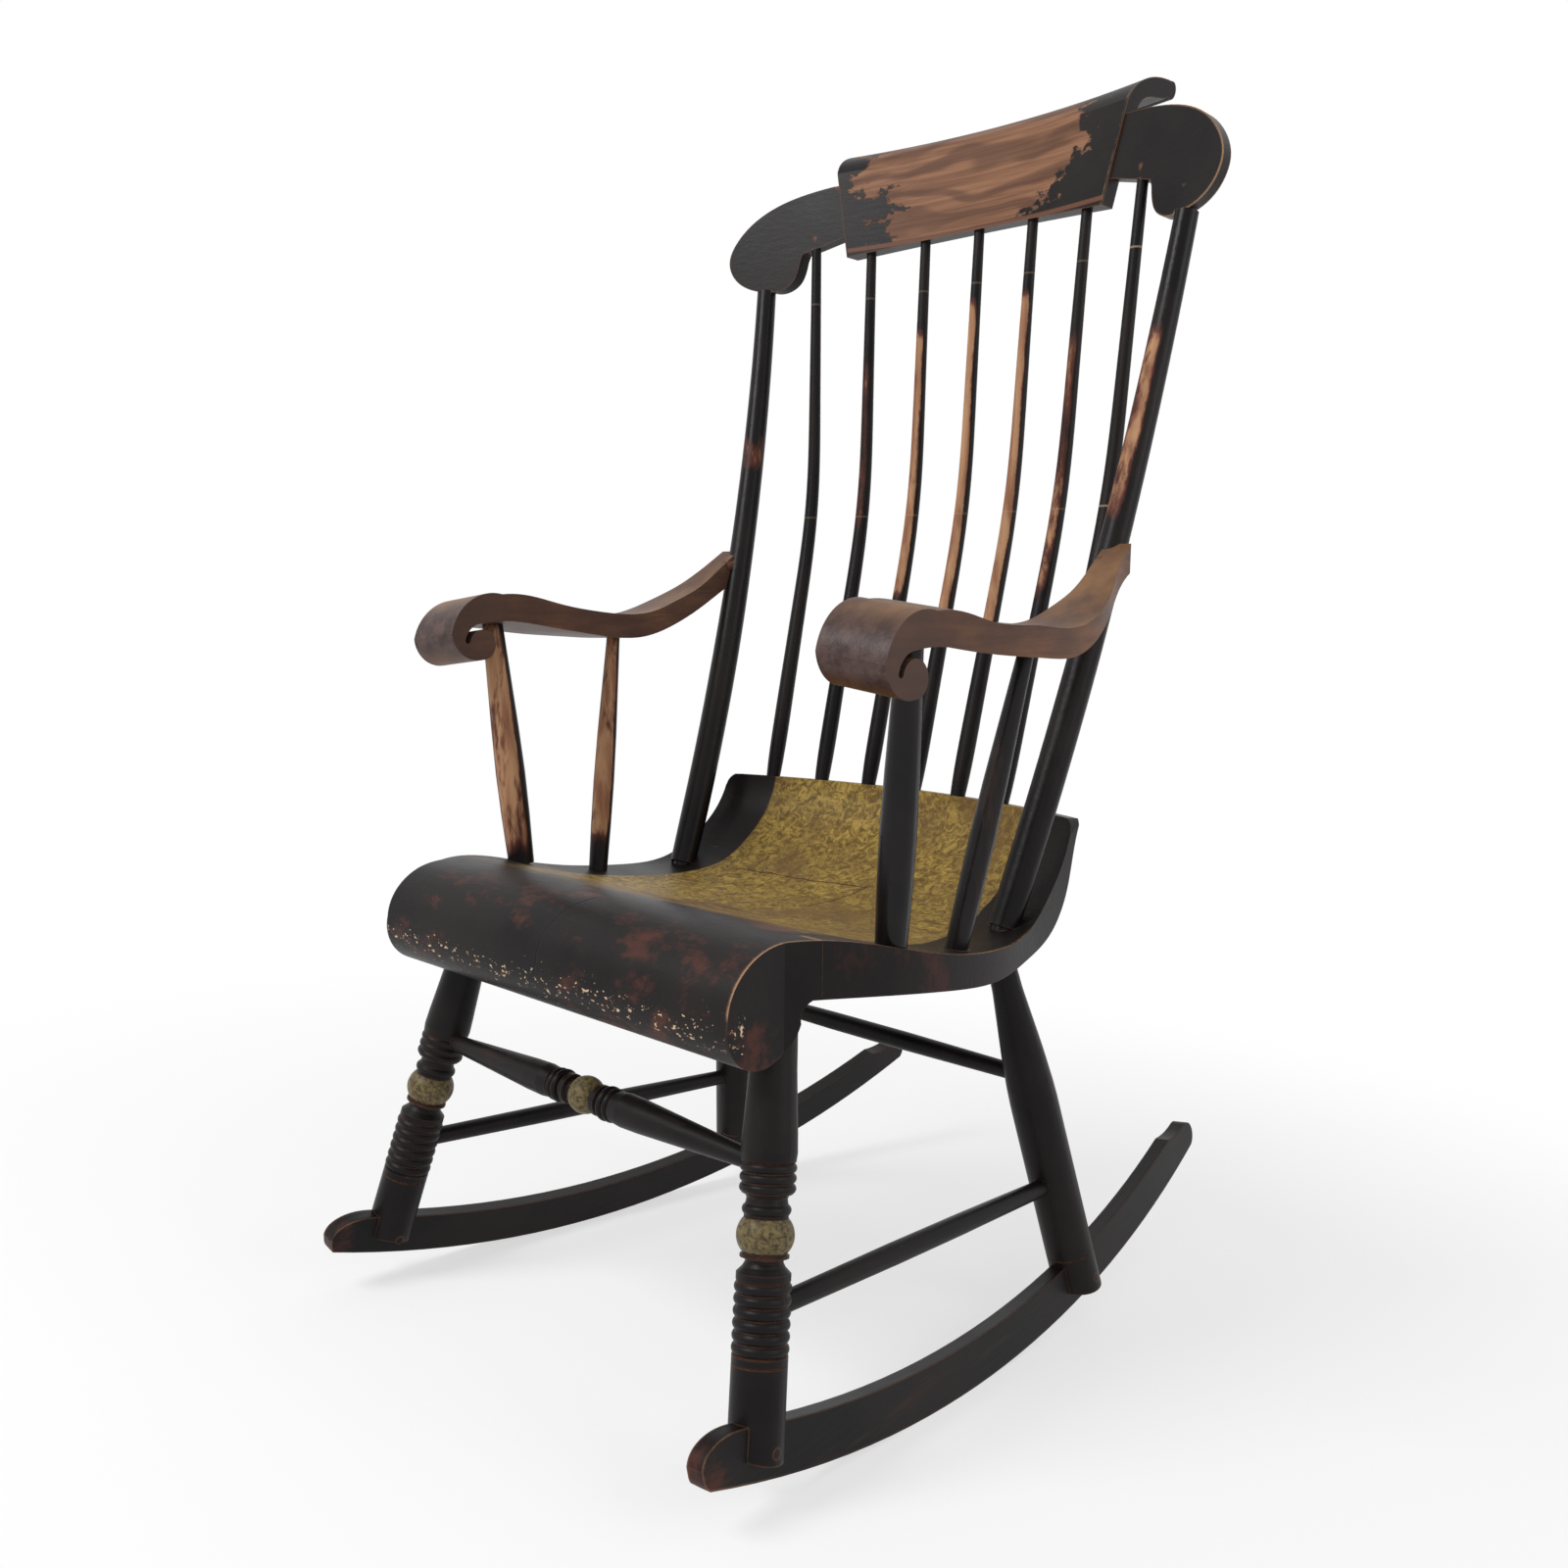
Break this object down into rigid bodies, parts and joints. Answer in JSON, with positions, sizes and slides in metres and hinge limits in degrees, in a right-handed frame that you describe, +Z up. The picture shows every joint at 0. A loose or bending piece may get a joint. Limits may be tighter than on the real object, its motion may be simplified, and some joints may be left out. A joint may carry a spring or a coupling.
{
  "type": "boston rocking chair",
  "caption": "High-backed wooden rocking chair with a rolled seat, turned legs, slim spindles, scrolled arms and a rolled crest rail, in worn black paint.",
  "frame": {"origin": "on the floor, midway between the rockers and midway from their toes to their heels", "axes": "+Z up, the sitter faces -Y, +X is the sitter's left"},
  "size_m": [0.543, 0.7188, 1.0875],
  "materials": {
    "black_painted_wood": "worn black paint",
    "brown_wood": "rubbed brown stain"
  },
  "bodies": {
    "root": {"crest_rail": "black_painted_wood", "spindle_1": "black_painted_wood", "spindle_2": "black_painted_wood", "spindle_3": "black_painted_wood", "spindle_4": "black_painted_wood", "spindle_5": "black_painted_wood", "spindle_6": "black_painted_wood", "spindle_7": "black_painted_wood", "seat_plank": "black_painted_wood", "seat_front_roll": "black_painted_wood", "seat_back_riser": "black_painted_wood", "front_stretcher": "black_painted_wood", "rear_stretcher": "black_painted_wood", "rocker_left": "black_painted_wood", "rocker_right": "black_painted_wood", "front_leg_left": "black_painted_wood", "front_leg_right": "black_painted_wood", "back_leg_left": "black_painted_wood", "back_leg_right": "black_painted_wood", "side_stretcher_left": "black_painted_wood", "side_stretcher_right": "black_painted_wood", "back_post_left": "black_painted_wood", "back_post_right": "black_painted_wood", "arm_front_support_left": "black_painted_wood", "arm_front_support_right": "black_painted_wood", "arm_rear_support_left": "black_painted_wood", "arm_rear_support_right": "black_painted_wood", "front_rocker_peg_left": "black_painted_wood", "front_rocker_peg_right": "black_painted_wood", "back_rocker_peg_left": "black_painted_wood", "back_rocker_peg_right": "black_painted_wood", "arm_left": "brown_wood", "arm_right": "brown_wood"}
  },
  "joints": []
}
